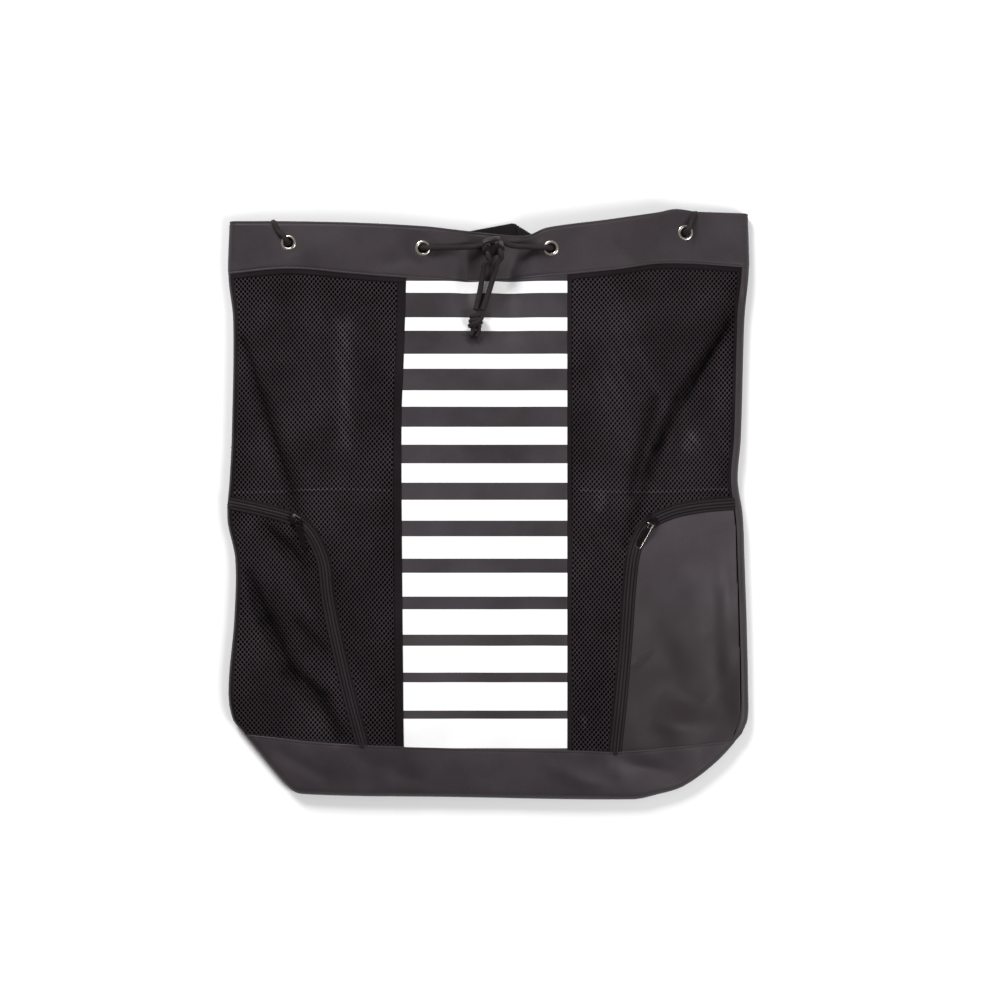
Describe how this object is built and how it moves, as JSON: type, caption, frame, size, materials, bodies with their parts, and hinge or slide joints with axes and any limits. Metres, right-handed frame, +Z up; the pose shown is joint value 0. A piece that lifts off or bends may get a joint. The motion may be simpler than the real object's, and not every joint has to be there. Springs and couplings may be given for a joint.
{
  "type": "mesh dive gear bag",
  "caption": "Flat-lying drawcord gear bag with open mesh sides, coated centre panel, collar and base, two zipped pockets, cord lock and padded shoulder straps.",
  "frame": {"origin": "middle of the underside: the centre of the bounding box in plan, at the height of the floor the bag lies on", "axes": "+Z up out of the bag's front, +Y to the mouth, +X to the right seen from the front"},
  "size_m": [0.5247, 0.591, 0.0492],
  "materials": {
    "coated_cloth": "satin coated cloth, dark grey",
    "panel_cloth": "satin coated cloth, grey, with a bare graded band print",
    "mesh_cloth": "open knitted mesh, near black",
    "zip_cloth": "woven zip tape and coil, near black",
    "slider_metal": "black enamel on cast metal",
    "nickel": "bright nickel plate",
    "cord": "braided polyester cord, near black",
    "plastic": "moulded nylon, near black",
    "padding": "knitted spacer cloth over foam, near black",
    "webbing": "woven webbing, near black"
  },
  "bodies": {
    "bag": {"base": "coated_cloth", "back_panel": "coated_cloth", "center_panel": "panel_cloth", "mesh_left": "mesh_cloth", "pocket_left": "mesh_cloth", "zip_tape_left": "zip_cloth", "mesh_right": "mesh_cloth", "pocket_right": "coated_cloth", "zip_tape_right": "zip_cloth", "eyelet_front_outer_left": "nickel", "eyelet_front_inner_left": "nickel", "eyelet_front_inner_right": "nickel", "eyelet_front_outer_right": "nickel", "eyelet_back_left": "nickel", "eyelet_back_right": "nickel", "zip_chain_left": "zip_cloth", "zip_chain_right": "zip_cloth", "zip_slider_left": "slider_metal", "zip_slider_right": "slider_metal", "cord_lock_body": "plastic", "drawcord": "cord", "collar": "coated_cloth", "cord_knot": "cord", "cord_end_left": "cord", "cord_end_right": "cord", "strap_pad_left": "padding", "strap_tab_left": "webbing", "strap_buckle_left": "plastic", "strap_webbing_left": "webbing", "strap_pad_right": "padding", "strap_tab_right": "webbing", "strap_buckle_right": "plastic", "strap_webbing_right": "webbing", "grab_loop": "webbing"},
    "pull_left": {"zip_pull_left": "slider_metal"},
    "pull_right": {"zip_pull_right": "slider_metal"},
    "button": {"cord_lock_button": "plastic"}
  },
  "joints": [
    {"name": "pull_left_hinge", "type": "hinge", "parent": "bag", "child": "pull_left", "pos_m": [-0.19043, -0.01606, 0.02942], "axis": [-0.9659, -0.2588, 0], "range_deg": [0, 150]},
    {"name": "pull_right_hinge", "type": "hinge", "parent": "bag", "child": "pull_right", "pos_m": [0.16213, -0.01883, 0.03363], "axis": [-0.8746, 0.4848, 0], "range_deg": [0, 150]},
    {"name": "button_slide", "type": "slide", "parent": "bag", "child": "button", "axis": [0.147, -0.6917, -0.7071], "range_m": [0, 0.003], "stiffness_N_per_m": 300}
  ]
}
